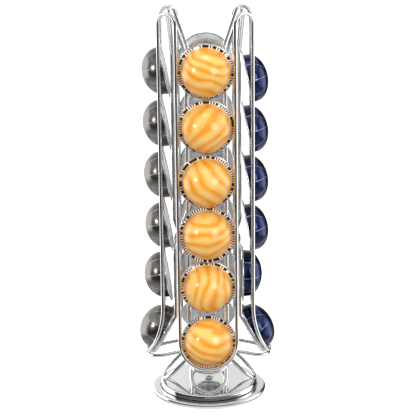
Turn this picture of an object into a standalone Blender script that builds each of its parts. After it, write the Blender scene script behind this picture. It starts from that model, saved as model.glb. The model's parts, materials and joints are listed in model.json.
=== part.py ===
"""Rotating wire dispenser for domed coffee capsules.

Four columns of capsules stand in a tower of bent chrome wire. The tower is
welded to a round turntable, which turns on a ball race over a pressed pan.
Metres, +Z up, origin on the table under the pan's centre. The front column
faces -Y, and the others follow it anticlockwise, seen from above. Heights in
the tower are measured from the top of the turntable plate.
"""

import bpy
import bmesh
from math import cos, pi, radians, sin, sqrt, tan
from mathutils import Matrix, Vector

# Gaps: between pieces that touch, and between pieces that turn past each other.
SEAT_GAP = 0.0003
RUNNING_GAP = 0.0005
CUT_OVERRUN = 0.002
MERGE_DISTANCE = 0.00003

# Chrome wire of the tower.
WIRE_DIAMETER = 0.0040
WIRE_RADIUS = WIRE_DIAMETER / 2
WIRE_PITCH = WIRE_DIAMETER + SEAT_GAP
WIRE_BEVEL_RESOLUTION = 2
BEND_STEP = radians(30)
END_LEG_SHARE = 0.85
OUTER_LOOP_STEPS = 10
INNER_LOOP_STEPS = 8
FLARE_STEPS = 2

# Turntable plate.
PLATE_RADIUS = 0.0526
PLATE_SHEET = 0.0012
PLATE_ROLL = 0.0022
PLATE_SIDES = 36

# Pan, which reaches past the plate all round, and the pad under it.
PAN_SHOULDER = 0.0094
PAN_RADIUS = PLATE_RADIUS + PAN_SHOULDER
PAN_SHEET = 0.0015
PAN_LIP_RISE = 0.0017
PAN_ROLL = 0.0024
PAN_TUCK = 0.0006
PAN_GROUND = 0.0008
PAD_MARGIN = 0.0027
PAD_THICKNESS = 0.0027
PAD_RECESS_MARGIN = 0.0016

# Ball race between the pan and the turntable.
BALL_DIAMETER = 0.0034
BALL_COUNT = 8
BALL_SIDES = 8
BALL_RINGS = 4
RACE_WIDTH = 0.0090
RACE_THICKNESS = 0.0011
RACE_MARGIN = 0.0069
RACE_SIDES = 24
BALL_CIRCLE_RADIUS = PLATE_RADIUS - PLATE_SHEET - RACE_MARGIN - RACE_WIDTH / 2
CAGE_WALL = 0.0012
CAGE_THICKNESS = 0.0012
POCKET_SIDES = 8

# Rivet that holds the two plates together, and the bush it turns in.
RIVET_RADIUS = 0.0028
RIVET_HEAD_RADIUS = 0.0048
RIVET_HEAD_HEIGHT = 0.0022
RIVET_CLINCH = 0.0009
RIVET_CROWN_SHARES = ((0.0, 1.0), (0.55, 0.85), (1.0, 0.4))
RIVET_SIDES = 18
BUSH_RADIUS = 0.0058

# Capsule: rim, lid and domed cup, along its own axis from the rim's middle.
RIM_RADIUS = 0.0300
RIM_THICKNESS = 0.0015
RIM_EDGE = 0.0007
LID_RECESS = 0.0003
FLANGE_WIDTH = 0.0058
CUP_RADIUS = RIM_RADIUS - FLANGE_WIDTH
CUP_SKIRT = 0.0040
CUP_SKIRT_TAPER = 0.0004
CUP_SIDES = 16
DOME_STEPS = 4
DOME_HEIGHTS = {"front": 0.0280, "right": 0.0210, "back": 0.0260, "left": 0.0245}

# One column's outer rails, which hold the capsules' rims from the front.
OUTER_HALF_WIDTH = RIM_RADIUS
OUTER_RADIUS = 0.0480
OUTER_FLARE_ROUNDING = 0.0900
CROWN_HEIGHT = 0.4034
CROWN_ROUNDING = 0.0120

# One column's inner rails, behind the capsules' lids.
INNER_HALF_WIDTH = 0.0200
RAIL_SPACING = 0.0135
INNER_RADIUS = OUTER_RADIUS - RAIL_SPACING
INNER_SPREAD_DROP = 0.0420
INNER_SPREAD_ROUNDING = 0.0120
INNER_FLARE_ROUNDING = 0.0120
INNER_TIP_RISE = 0.0026
PEAK_LEAD = 0.0029
PEAK_ROUNDING = 0.0030
PEAK_DROP = 0.0012
WAIST_HEIGHT = 0.1704
WAIST_RADIUS = (INNER_HALF_WIDTH + INNER_RADIUS) / 2
WAIST_REACH = 0.0150
WAIST_ROUNDING = 0.0060
WAIST_END_ROUNDING = 0.0120

# Loop that carries one column: arms out to the lowest capsule, legs to a foot.
LOOP_HALF_WIDTH = 0.0188
LOOP_BEND_HEIGHT = 0.0394
LOOP_BEND_DROP = 0.0085
LOOP_ROUNDING = 0.0042
FOOT_MARGIN = 0.0029
FOOT_RADIUS = PLATE_RADIUS - FOOT_MARGIN

# Lowest capsule of each column, which lies in the bent ends of the rails.
LOW_CAPSULE_REACH = 0.0015
LOW_CAPSULE_RADIUS = OUTER_RADIUS + LOW_CAPSULE_REACH
LOW_CAPSULE_HEIGHT = 0.0586
LOW_CAPSULE_TILT = radians(30)
OUTER_TIP_RISE = 0.0008

COLUMNS = ("front", "right", "back", "left")

# The capsules held above it, from the bottom up; a row's last entry repeats.
# A capsule whose dome points down has a negative tilt. Its rim reaches past the
# rim below by the nest. Its seat is a share of the way between the rails: 0 is
# against the outer ones and 1 against the inner ones.
TILTS = {
    "front": [radians(a) for a in (-9, 11, -9, -12)],
    "right": [radians(a) for a in (0, 12, 12.5)],
    "back": [radians(-10)],
    "left": [radians(a) for a in (-10, -11)],
}
NESTS = {
    "front": (0.0005, 0.0031),
    "right": (-0.0015, 0.0090, 0.0065),
    "back": (0.0008, 0.0031),
    "left": (-0.0020, 0.0047),
}
SEAT_SHARES = {
    "front": (0.65, 0.42, 0),
    "right": (1, 0),
    "back": (0,),
    "left": (0.14, 1, 0.85, 0.80),
}
CROWN_ROOM = 0.0500
SEAT_STEPS = 80


def clear_scene():
    for item in list(bpy.data.objects):
        bpy.data.objects.remove(item, do_unlink=True)


def finish(name, color, roughness, metallic):
    """One Principled material."""
    material = bpy.data.materials.new(name)
    material.use_nodes = True
    shader = material.node_tree.nodes["Principled BSDF"]
    shader.inputs["Base Color"].default_value = (*color, 1.0)
    shader.inputs["Roughness"].default_value = roughness
    shader.inputs["Metallic"].default_value = metallic
    return material


def chrome():
    return finish("chrome_wire", (0.78, 0.78, 0.78), 0.08, 1.0)


def add_object(name, mesh, material):
    item = bpy.data.objects.new(name, mesh)
    bpy.context.scene.collection.objects.link(item)
    mesh.materials.append(material)
    return item


def turned(name, outline, sides, material, closed=False):
    """Solid of revolution about Z from an outline of (radius, height) points.

    An open outline starts and ends on the axis; a closed one is a ring.
    """
    mesh = bpy.data.meshes.new(name)
    shape = bmesh.new()
    verts = [shape.verts.new((r, 0, z)) for r, z in outline]
    pairs = list(zip(verts, verts[1:]))
    if closed:
        pairs.append((verts[-1], verts[0]))
    edges = [shape.edges.new(pair) for pair in pairs]
    bmesh.ops.spin(
        shape, geom=verts + edges, cent=(0, 0, 0), axis=(0, 0, 1),
        angle=2 * pi, steps=sides, use_merge=True, use_duplicate=False,
    )
    bmesh.ops.remove_doubles(shape, verts=shape.verts, dist=MERGE_DISTANCE)
    bmesh.ops.recalc_face_normals(shape, faces=shape.faces)
    shape.to_mesh(mesh)
    shape.free()
    mesh.shade_smooth()
    mesh.set_sharp_from_angle(angle=radians(35))
    return add_object(name, mesh, material)


def arc_points(center, radius, start, end, steps):
    """Points on an arc in the (radius, height) plane, both ends included."""
    return [
        (
            center[0] + radius * cos(start + (end - start) * k / steps),
            center[1] + radius * sin(start + (end - start) * k / steps),
        )
        for k in range(steps + 1)
    ]


def filleted(corners, radii):
    """Polyline through the corners with each inner corner rounded to an arc.

    An arc takes up to half of each leg, or most of one whose far end is sharp.
    """
    path = []
    for k, corner in enumerate(corners):
        if radii[k] == 0:
            path.append(corner.copy())
            continue
        before = corners[k - 1] - corner
        after = corners[k + 1] - corner
        turn = pi - before.angle(after)
        reach = radii[k] * tan(turn / 2)
        for leg, beyond in ((before, radii[k - 1]), (after, radii[k + 1])):
            reach = min(reach, leg.length / 2 if beyond else leg.length * END_LEG_SHARE)
        radius = reach / tan(turn / 2)
        entry = corner + before.normalized() * reach
        leave = corner + after.normalized() * reach
        middle = (before.normalized() + after.normalized()).normalized()
        center = corner + middle * (radius / cos(turn / 2))
        steps = max(1, round(turn / BEND_STEP))
        for s in range(steps + 1):
            share = s / steps
            a = sin((1 - share) * turn) / sin(turn)
            b = sin(share * turn) / sin(turn)
            point = center + (entry - center) * a + (leave - center) * b
            if not path or (point - path[-1]).length > SEAT_GAP:
                path.append(point)
    return path


def half_turn(near, far, steps):
    """Semicircle from near[0] to near[1], bulging towards far."""
    middle = (near[0] + near[1]) / 2
    side = near[0] - middle
    reach = (far - middle).normalized() * side.length
    return [
        middle + side * cos(pi * k / steps) + reach * sin(pi * k / steps)
        for k in range(steps + 1)
    ]


def mirrored(points):
    """The same half path on the column's other side, run backwards."""
    return [Vector((-p.x, p.y, p.z)) for p in reversed(points)]


def pan_underside():
    return PAD_THICKNESS + SEAT_GAP


def pan_floor():
    return pan_underside() + PAN_SHEET


def ball_seat():
    """Height of the balls' lowest points, on the lower race."""
    return pan_floor() + SEAT_GAP + RACE_THICKNESS + SEAT_GAP


def plate_underside():
    return ball_seat() + BALL_DIAMETER + SEAT_GAP + RACE_THICKNESS + SEAT_GAP


def plate_top():
    return plate_underside() + PLATE_SHEET


def column_frame(index):
    """Frame of one column, with its origin on the plate's top."""
    return Matrix.Translation((0, 0, plate_top())) @ Matrix.Rotation(index * pi / 2, 4, "Z")


def wire(name, path, index, cyclic=False):
    """Round wire along a path given in the front column's frame."""
    curve = bpy.data.curves.new(name, "CURVE")
    curve.dimensions = "3D"
    curve.bevel_depth = WIRE_RADIUS
    curve.bevel_resolution = WIRE_BEVEL_RESOLUTION
    curve.use_fill_caps = not cyclic
    spline = curve.splines.new("POLY")
    spline.points.add(len(path) - 1)
    for point, place in zip(spline.points, path):
        point.co = (*place, 1.0)
    spline.use_cyclic_u = cyclic
    item = bpy.data.objects.new(name, curve)
    item.matrix_world = column_frame(index)
    bpy.context.scene.collection.objects.link(item)
    curve.materials.append(chrome())
    return item


def low_frame():
    """Centre, outward axis and downward direction of the lowest capsule's rim."""
    center = Vector((0, -LOW_CAPSULE_RADIUS, LOW_CAPSULE_HEIGHT))
    outward = Vector((0, -cos(LOW_CAPSULE_TILT), sin(LOW_CAPSULE_TILT)))
    down = Vector((0, -sin(LOW_CAPSULE_TILT), -cos(LOW_CAPSULE_TILT)))
    return center, outward, down


def flare(half_width, radius, offset, tip_rise, rounding, steps):
    """Bend and half loop of a rail pair round the lowest capsule's rim.

    The loop lies parallel to the rim, offset along its axis, and its lowest
    point stands a little above the rim's edge. The rails turn from upright into
    that plane along an arc, which may run on into the loop.
    """
    center, outward, down = low_frame()
    tip = center + outward * offset + down * (RIM_RADIUS - tip_rise)
    corner = (tip.y + radius) / down.y
    arc_start = corner - rounding * tan(LOW_CAPSULE_TILT / 2)
    arc_end = arc_start + rounding * LOW_CAPSULE_TILT

    def on_rails(across, climb):
        """Point across the pair, at a climb from the tip along its bent plane."""
        lean = LOW_CAPSULE_TILT - max(0, climb - arc_start) / rounding
        place = tip - down * min(climb, arc_start)
        place.y += rounding * (cos(lean) - cos(LOW_CAPSULE_TILT))
        place.z += rounding * (sin(LOW_CAPSULE_TILT) - sin(lean))
        place.x = across
        return place

    arc_low = max(arc_start, half_width)
    climbs = [arc_end + (arc_low - arc_end) * k / FLARE_STEPS for k in range(FLARE_STEPS + 1)]
    bend = [on_rails(-half_width, c) for c in climbs if c > half_width + MERGE_DISTANCE]
    turns = [pi * k / steps for k in range(steps + 1)]
    loop = [on_rails(-half_width * cos(a), half_width * (1 - sin(a))) for a in turns]
    return bend, loop


def outer_path():
    """From the crown's top over one corner, round the column, to the next."""
    cradle = WIRE_RADIUS + SEAT_GAP + RIM_THICKNESS / 2
    bend, loop = flare(
        OUTER_HALF_WIDTH, OUTER_RADIUS, cradle, OUTER_TIP_RISE, OUTER_FLARE_ROUNDING,
        OUTER_LOOP_STEPS,
    )
    shoulder = Vector((-OUTER_HALF_WIDTH, -OUTER_RADIUS, CROWN_HEIGHT))
    peak = (shoulder.x + shoulder.y) / 2
    half_gap = SEAT_GAP / 2 * sqrt(0.5)
    apex = Vector((peak + half_gap, peak - half_gap, CROWN_HEIGHT))
    half = filleted([apex, shoulder, bend[0]], [0, CROWN_ROUNDING, 0]) + bend[1:]
    return half + loop + mirrored(half)


def peak_place():
    """Plan coordinate of the inner wire's peak, which touches the crown."""
    crown = -(OUTER_HALF_WIDTH + OUTER_RADIUS) / 2
    across = sqrt(WIRE_PITCH ** 2 - PEAK_DROP ** 2)
    return crown + across * sqrt(0.5)


def inner_path():
    """From one corner's peak down behind the lids, round, and up again."""
    cradle = WIRE_RADIUS + SEAT_GAP + RIM_THICKNESS / 2
    bend, loop = flare(
        INNER_HALF_WIDTH, INNER_RADIUS, -cradle, INNER_TIP_RISE, INNER_FLARE_ROUNDING,
        INNER_LOOP_STEPS,
    )
    top = CROWN_HEIGHT - PEAK_DROP
    place = peak_place()
    half_gap = SEAT_GAP / 2 * sqrt(0.5)
    lead = PEAK_LEAD * sqrt(0.5)
    peak = Vector((place + half_gap, place - half_gap, top))
    knee = Vector((place + lead, place - lead, top))
    spread = Vector((-INNER_HALF_WIDTH, -INNER_RADIUS, CROWN_HEIGHT - INNER_SPREAD_DROP))
    beside = WIRE_PITCH / 2 * sqrt(0.5)
    waist = Vector((-WAIST_RADIUS + beside, -WAIST_RADIUS - beside, WAIST_HEIGHT))
    above = spread.copy()
    above.z = WAIST_HEIGHT + WAIST_REACH
    below = spread.copy()
    below.z = WAIST_HEIGHT - WAIST_REACH
    half = filleted(
        [peak, knee, spread, above, waist, below, bend[0]],
        [
            0, PEAK_ROUNDING, INNER_SPREAD_ROUNDING, WAIST_END_ROUNDING,
            WAIST_ROUNDING, WAIST_END_ROUNDING, 0,
        ],
    ) + bend[1:]
    return half + loop + mirrored(half)


def loop_path():
    """Closed loop: under the lowest rim, in to the tower's middle, to a foot."""
    center, outward, down = low_frame()
    cradle = WIRE_RADIUS + SEAT_GAP + RIM_THICKNESS / 2
    below = sqrt(WIRE_PITCH ** 2 - cradle ** 2) - OUTER_TIP_RISE
    seat = center + down * (RIM_RADIUS + below)
    inner = LOOP_HALF_WIDTH + WIRE_PITCH * sqrt(0.5)
    bend = Vector((-LOOP_HALF_WIDTH, -inner, LOOP_BEND_HEIGHT))
    dropped = Vector((-LOOP_HALF_WIDTH, -inner, LOOP_BEND_HEIGHT - LOOP_BEND_DROP))
    foot = Vector((0, -FOOT_RADIUS, SEAT_GAP + WIRE_RADIUS))

    def round_end(start, end):
        run = Vector((0, end.y - start.y, end.z - start.z))
        run = run.normalized() * (run.length - LOOP_HALF_WIDTH)
        near = Vector((start.x, start.y + run.y, start.z + run.z))
        other = Vector((-near.x, near.y, near.z))
        return half_turn((near, other), end, INNER_LOOP_STEPS)

    arm = round_end(bend, seat)
    leg = round_end(dropped, foot)
    corner = filleted(
        [leg[0], dropped, bend, arm[0]], [0, LOOP_ROUNDING, LOOP_ROUNDING, 0],
    )
    return corner + arm[1:-1] + mirrored(corner) + list(reversed(leg))[1:-1]


def tower_wires():
    for index, column in enumerate(COLUMNS):
        wire("outer_wire_" + column, outer_path(), index)
        wire("inner_wire_" + column, inner_path(), index)
        wire("foot_loop_" + column, loop_path(), index, cyclic=True)


def capsule_outline(height):
    """Lid, rolled rim, skirt and dome, from the lid's middle to the apex."""
    half = RIM_THICKNESS / 2
    shoulder = CUP_RADIUS - CUP_SKIRT_TAPER
    outline = [
        (0, -half + LID_RECESS),
        (RIM_RADIUS, -half),
        (RIM_RADIUS - RIM_EDGE, half),
        (CUP_RADIUS, half - LID_RECESS),
    ]
    rise = height - CUP_SKIRT
    for k in range(DOME_STEPS):
        turn = pi / 2 * k / DOME_STEPS
        outline.append((shoulder * cos(turn), CUP_SKIRT + rise * sin(turn)))
    outline.append((0, height))
    return outline


def rim_reach(half_width, tilt, toward):
    """How far rails this far apart stand from a tilted rim's middle when they touch.

    The rails are outside the rim for a toward of 1, and inside for -1. Points
    are tried up the rim's side, on its back edge and on its front edge.
    """
    clear = WIRE_RADIUS + SEAT_GAP
    reaches = []
    for radius, forward in (
        (RIM_RADIUS, -RIM_THICKNESS / 2),
        (RIM_RADIUS - RIM_EDGE, RIM_THICKNESS / 2),
    ):
        for k in range(SEAT_STEPS + 1):
            turn = pi / 2 * k / SEAT_STEPS
            beside = abs(half_width - radius * cos(turn))
            if beside < clear:
                lean = radius * sin(turn) * sin(abs(tilt)) + toward * forward * cos(tilt)
                reaches.append(sqrt(clear ** 2 - beside ** 2) + lean)
    return max(reaches)


def row_entry(table, column, k):
    """A column's value for its held capsule k; the last one repeats."""
    row = table[column]
    return row[min(k, len(row) - 1)]


def seated_radius(column, k):
    """Where the rim's middle of held capsule k stands between the rails."""
    tilt = row_entry(TILTS, column, k)
    share = row_entry(SEAT_SHARES, column, k)
    outermost = OUTER_RADIUS - rim_reach(OUTER_HALF_WIDTH, tilt, 1)
    innermost = INNER_RADIUS + rim_reach(INNER_HALF_WIDTH, tilt, -1)
    return outermost + (innermost - outermost) * share


def capsule_places(column):
    """Rim centre in the column's frame, and tilt, of each capsule from the bottom."""
    places = [(Vector((0, -LOW_CAPSULE_RADIUS, LOW_CAPSULE_HEIGHT)), LOW_CAPSULE_TILT)]
    height = LOW_CAPSULE_HEIGHT + 2 * RIM_RADIUS - row_entry(NESTS, column, 0)
    while height + CROWN_ROOM <= CROWN_HEIGHT:
        k = len(places) - 1
        place = Vector((0, -seated_radius(column, k), height))
        places.append((place, row_entry(TILTS, column, k)))
        height += 2 * RIM_RADIUS - row_entry(NESTS, column, k + 1)
    return places


def capsules():
    """Capsules of each column, numbered from the crown down."""
    looks = {
        "front": ((0.83, 0.42, 0.09), 0.28, 0.55),
        "right": ((0.03, 0.05, 0.20), 0.25, 0.85),
        "back": ((0.60, 0.60, 0.58), 0.30, 0.90),
        "left": ((0.20, 0.19, 0.18), 0.25, 0.90),
    }
    for index, column in enumerate(COLUMNS):
        color, roughness, metallic = looks[column]
        outline = capsule_outline(DOME_HEIGHTS[column])
        places = capsule_places(column)
        for order, (place, tilt) in enumerate(reversed(places)):
            name = "capsule_" + column + "_" + str(order + 1)
            skin = finish("foil_" + column, color, roughness, metallic)
            item = turned(name, outline, CUP_SIDES, skin)
            stand = Matrix.Rotation(pi / 2 - tilt, 4, "X")
            item.matrix_world = column_frame(index) @ Matrix.Translation(place) @ stand


def foot_pad():
    """Non-slip disc under the pan, recessed round the rivet's clinched end."""
    radius = PAN_RADIUS - PAN_TUCK - PAN_SHEET - PAD_MARGIN
    recess = RIVET_HEAD_RADIUS + PAD_RECESS_MARGIN
    floor = PAD_THICKNESS - RIVET_CLINCH - SEAT_GAP
    outline = [
        (0, 0),
        (radius, 0),
        (radius, PAD_THICKNESS),
        (recess, PAD_THICKNESS),
        (recess, floor),
        (0, floor),
    ]
    turned("foot_pad", outline, PLATE_SIDES,
           finish("black_rubber", (0.03, 0.03, 0.03), 0.85, 0.0))


def base_pan():
    """Lower pan: a pressed sheet with a well for the race and a rolled skirt."""
    under = pan_underside()
    floor = pan_floor()
    lip = floor + PAN_LIP_RISE
    hole = RIVET_RADIUS + SEAT_GAP
    wall = PLATE_RADIUS + PAN_LIP_RISE / 2
    roll = (PAN_RADIUS - PAN_ROLL, lip - PAN_ROLL)
    hem = PAN_RADIUS - PAN_TUCK
    outline = [(hole, floor), (PLATE_RADIUS, floor), (wall, lip)]
    outline += arc_points(roll, PAN_ROLL, pi / 2, 0, 3)
    outline += [
        (hem, PAN_GROUND),
        (hem - PAN_SHEET, PAN_GROUND),
        (PAN_RADIUS - PAN_SHEET, roll[1]),
        (roll[0], lip - PAN_SHEET),
        (wall + PAN_SHEET, lip - PAN_SHEET),
        (PLATE_RADIUS + PAN_SHEET, under),
        (hole, under),
    ]
    turned("base_pan", outline, PLATE_SIDES,
           finish("chrome_pan", (0.76, 0.76, 0.76), 0.10, 1.0), closed=True)


def turntable_plate():
    """Polished upper plate: a flat dish turned over, with a short skirt."""
    under = plate_underside()
    skirt = pan_floor() + PAN_LIP_RISE + RUNNING_GAP
    hole = RIVET_RADIUS + SEAT_GAP
    roll = (PLATE_RADIUS - PLATE_ROLL, plate_top() - PLATE_ROLL)
    inner = PLATE_RADIUS - PLATE_SHEET
    outline = [(hole, plate_top())]
    outline += arc_points(roll, PLATE_ROLL, pi / 2, 0, 3)
    outline += [
        (PLATE_RADIUS, skirt),
        (inner, skirt),
        (inner, roll[1]),
        (roll[0], under),
        (hole, under),
    ]
    turned("turntable_plate", outline, PLATE_SIDES,
           finish("chrome_plate", (0.80, 0.80, 0.79), 0.06, 1.0), closed=True)


def ball_race():
    """Two flat races with a caged ring of balls between them."""
    inner = BALL_CIRCLE_RADIUS - RACE_WIDTH / 2
    outer = BALL_CIRCLE_RADIUS + RACE_WIDTH / 2
    for name, low in (
        ("lower_race", pan_floor() + SEAT_GAP),
        ("upper_race", plate_underside() - SEAT_GAP - RACE_THICKNESS),
    ):
        high = low + RACE_THICKNESS
        outline = [(inner, low), (outer, low), (outer, high), (inner, high)]
        turned(name, outline, RACE_SIDES,
               finish("race_steel", (0.55, 0.55, 0.55), 0.30, 1.0), closed=True)
    for k in range(BALL_COUNT):
        bearing_ball(k)
    ball_cage()


def ball_place(k):
    turn = 2 * pi * k / BALL_COUNT
    height = ball_seat() + BALL_DIAMETER / 2
    return Vector((BALL_CIRCLE_RADIUS * cos(turn), BALL_CIRCLE_RADIUS * sin(turn), height))


def bearing_ball(k):
    name = "bearing_ball_" + str(k + 1)
    mesh = bpy.data.meshes.new(name)
    shape = bmesh.new()
    bmesh.ops.create_uvsphere(
        shape, u_segments=BALL_SIDES, v_segments=BALL_RINGS, radius=BALL_DIAMETER / 2,
    )
    shape.to_mesh(mesh)
    shape.free()
    mesh.shade_smooth()
    ball = add_object(name, mesh, finish("ball_steel", (0.7, 0.7, 0.7), 0.15, 1.0))
    ball.location = ball_place(k)


def ball_cage():
    """Flat ring with a pocket for each ball."""
    pocket = (BALL_DIAMETER / 2 + SEAT_GAP) / cos(pi / POCKET_SIDES)
    inner = BALL_CIRCLE_RADIUS - pocket - CAGE_WALL
    outer = BALL_CIRCLE_RADIUS + pocket + CAGE_WALL
    low = ball_seat() + (BALL_DIAMETER - CAGE_THICKNESS) / 2
    high = low + CAGE_THICKNESS
    outline = [(inner, low), (outer, low), (outer, high), (inner, high)]
    cage = turned("ball_cage", outline, RACE_SIDES,
                  finish("cage_nylon", (0.85, 0.85, 0.82), 0.55, 0.0), closed=True)
    mesh = bpy.data.meshes.new("ball_pockets")
    shape = bmesh.new()
    for k in range(BALL_COUNT):
        bmesh.ops.create_cone(
            shape, cap_ends=True, segments=POCKET_SIDES,
            radius1=pocket, radius2=pocket, depth=CAGE_THICKNESS + CUT_OVERRUN,
            matrix=Matrix.Translation(ball_place(k)),
        )
    shape.to_mesh(mesh)
    shape.free()
    cutter = bpy.data.objects.new("ball_pockets", mesh)
    bpy.context.scene.collection.objects.link(cutter)
    cutter.hide_render = True
    cutter.display_type = "WIRE"
    cut = cage.modifiers.new("pockets", "BOOLEAN")
    cut.operation = "DIFFERENCE"
    cut.solver = "EXACT"
    cut.object = cutter


def pivot():
    """Rivet through both plates, with a bush between them."""
    under = pan_underside()
    hole = RIVET_RADIUS + SEAT_GAP
    top = plate_top() + SEAT_GAP
    clinch = under - SEAT_GAP
    outline = [
        (RIVET_HEAD_RADIUS * across, top + RIVET_HEAD_HEIGHT * up)
        for across, up in RIVET_CROWN_SHARES
    ]
    outline += [
        (RIVET_HEAD_RADIUS, top),
        (RIVET_RADIUS, top),
        (RIVET_RADIUS, clinch),
        (RIVET_HEAD_RADIUS, clinch),
        (RIVET_HEAD_RADIUS, clinch - RIVET_CLINCH),
        (0, clinch - RIVET_CLINCH),
    ]
    turned("pivot_rivet", outline, RIVET_SIDES,
           finish("rivet_steel", (0.70, 0.70, 0.70), 0.20, 1.0))
    low = pan_floor() + SEAT_GAP
    high = plate_underside() - SEAT_GAP
    bush = [(hole, low), (BUSH_RADIUS, low), (BUSH_RADIUS, high), (hole, high)]
    turned("pivot_bush", bush, RIVET_SIDES,
           finish("bush_nylon", (0.88, 0.87, 0.82), 0.5, 0.0), closed=True)


def main():
    clear_scene()
    foot_pad()
    base_pan()
    ball_race()
    pivot()
    turntable_plate()
    tower_wires()
    capsules()


main()
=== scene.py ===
"""Looks of the rotating capsule dispenser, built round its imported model.

Metres, +Z up, origin on the table under the pan. The front column faces -Y and
the others follow it anticlockwise, seen from above. Heights in the tower are
measured from the top of the turntable plate. The tower's wires follow the same
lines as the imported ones, with finer bends, and each capsule is turned afresh
round the axis of the solid it stands for.
"""

import json
from math import cos, pi, radians, sin, sqrt, tan

import bmesh
import bpy
import numpy as np
from mathutils import Matrix, Vector

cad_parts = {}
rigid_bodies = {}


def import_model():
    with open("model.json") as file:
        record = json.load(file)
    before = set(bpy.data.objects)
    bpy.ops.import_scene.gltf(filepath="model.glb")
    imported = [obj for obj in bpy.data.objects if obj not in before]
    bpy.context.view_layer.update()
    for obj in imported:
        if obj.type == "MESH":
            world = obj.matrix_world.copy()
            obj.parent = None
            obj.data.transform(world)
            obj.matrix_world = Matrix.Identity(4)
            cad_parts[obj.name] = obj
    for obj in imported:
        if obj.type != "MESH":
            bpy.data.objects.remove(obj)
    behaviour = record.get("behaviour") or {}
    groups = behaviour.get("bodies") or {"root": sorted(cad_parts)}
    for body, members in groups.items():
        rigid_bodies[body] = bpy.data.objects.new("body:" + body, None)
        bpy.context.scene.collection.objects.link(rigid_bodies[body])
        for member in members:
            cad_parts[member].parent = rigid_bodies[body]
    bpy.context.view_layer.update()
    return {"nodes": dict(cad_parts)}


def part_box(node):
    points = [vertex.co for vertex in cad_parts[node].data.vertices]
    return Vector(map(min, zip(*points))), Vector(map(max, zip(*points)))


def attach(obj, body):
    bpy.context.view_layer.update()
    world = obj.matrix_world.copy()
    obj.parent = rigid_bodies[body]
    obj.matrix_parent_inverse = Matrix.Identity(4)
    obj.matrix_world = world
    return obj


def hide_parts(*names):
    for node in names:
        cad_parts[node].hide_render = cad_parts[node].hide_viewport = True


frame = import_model()

COLUMNS = ("front", "right", "back", "left")
CAPSULES_PER_COLUMN = 6

# Share of a length that lies along X, and along Y, when it runs at 45 degrees to both.
DIAGONAL_SHARE = sqrt(0.5)

# Camera of the photograph. Image, focal length and principal point are in pixels, and
# the sensor is in millimetres.
IMAGE_SIZE = 416
FOCAL_PIXELS = 1373.9
PRINCIPAL_X = 207.1
SENSOR_WIDTH = 36.0
CAMERA_PLACE = Vector((0, -1.423, 0.5619))
CAMERA_PITCH = radians(14.063)
CAMERA_ROLL = radians(-0.61)

# Fineness of the curved forms.
BEND_STEP = radians(5)
LOOP_STEPS = 40
FLARE_STEPS = 14
WIRE_ROUNDNESS = 6
CAPSULE_SIDES = 72
DOME_STEPS = 20
CURL_STEPS = 12
FILLET_STEPS = 4
PLATE_SIDES = 144
ROLL_STEPS = 10
WELD_STEPS = 12
WELD_RINGS = 6
SHARP_ANGLE = radians(40)

# Gaps and wire of the tower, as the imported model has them.
SEAT_GAP = 0.0003
MERGE_DISTANCE = 0.00003
WIRE_DIAMETER = 0.0040
WIRE_RADIUS = WIRE_DIAMETER / 2
WIRE_PITCH = WIRE_DIAMETER + SEAT_GAP
END_LEG_SHARE = 0.85

# Turntable plate that the tower stands on.
PLATE_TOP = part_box("turntable_plate")[1].z
PLATE_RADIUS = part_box("turntable_plate")[1].x

# Rim of a capsule.
RIM_RADIUS = 0.0300
RIM_THICKNESS = 0.0015

# One column's outer rails, which hold the capsules' rims from the front.
OUTER_HALF_WIDTH = RIM_RADIUS
OUTER_RADIUS = 0.0480
OUTER_FLARE_ROUNDING = 0.0900
OUTER_TIP_RISE = 0.0008
CROWN_HEIGHT = 0.4034
CROWN_ROUNDING = 0.0120

# One column's inner rails, behind the capsules' lids.
INNER_HALF_WIDTH = 0.0200
RAIL_SPACING = 0.0135
INNER_RADIUS = OUTER_RADIUS - RAIL_SPACING
INNER_SPREAD_DROP = 0.0420
INNER_SPREAD_ROUNDING = 0.0120
INNER_FLARE_ROUNDING = 0.0120
INNER_TIP_RISE = 0.0026
PEAK_LEAD = 0.0029
PEAK_ROUNDING = 0.0030
PEAK_DROP = 0.0012
WAIST_HEIGHT = 0.1704
WAIST_RADIUS = (INNER_HALF_WIDTH + INNER_RADIUS) / 2
WAIST_REACH = 0.0150
WAIST_ROUNDING = 0.0060
WAIST_END_ROUNDING = 0.0120

# Loop that carries one column: arms out to the lowest capsule, legs to a foot.
LOOP_HALF_WIDTH = 0.0188
LOOP_BEND_HEIGHT = 0.0394
LOOP_BEND_DROP = 0.0085
LOOP_ROUNDING = 0.0042
FOOT_MARGIN = 0.0029
FOOT_RADIUS = PLATE_RADIUS - FOOT_MARGIN

# Lowest capsule of each column, which lies in the bent ends of the rails. Their wires'
# middles lie off its rim's middle by the cradle's offset.
LOW_CAPSULE_REACH = 0.0015
LOW_CAPSULE_RADIUS = OUTER_RADIUS + LOW_CAPSULE_REACH
LOW_CAPSULE_HEIGHT = 0.0586
LOW_CAPSULE_TILT = radians(30)
CRADLE_OFFSET = WIRE_RADIUS + SEAT_GAP + RIM_THICKNESS / 2

# Fine form of a capsule, along its own axis from the rim's middle.
CUP_RADIUS = 0.0253
CUP_SKIRT = 0.0040
CUP_SKIRT_TAPER = 0.0004
CUP_FILLET = 0.0005
FLANGE_TOP = 0.0003
FLANGE_FOOT = 0.0258
CURL_RADIUS = 0.00072
LID_SEAL_INNER = 0.0247
LID_SEAL_DEPTH = 0.00028
LID_RECESS = 0.0003

# Rings of the lid inside its sealed edge: shares of the rim's radius and of the recess.
LID_RINGS = ((0.30, 0.9), (0.62, 1.0))

# Materials of a capsule, by number.
DOME, FLANGE, CURL, LID, SEAL = range(5)

# Turntable plate and pan, each of one sheet with a rolled edge.
PLATE_SHEET = 0.0012
PLATE_ROLL = 0.0022
PAN_SHEET = 0.0015
PAN_LIP_RISE = 0.0017
PAN_ROLL = 0.0024
PAN_TUCK = 0.0006

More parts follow.
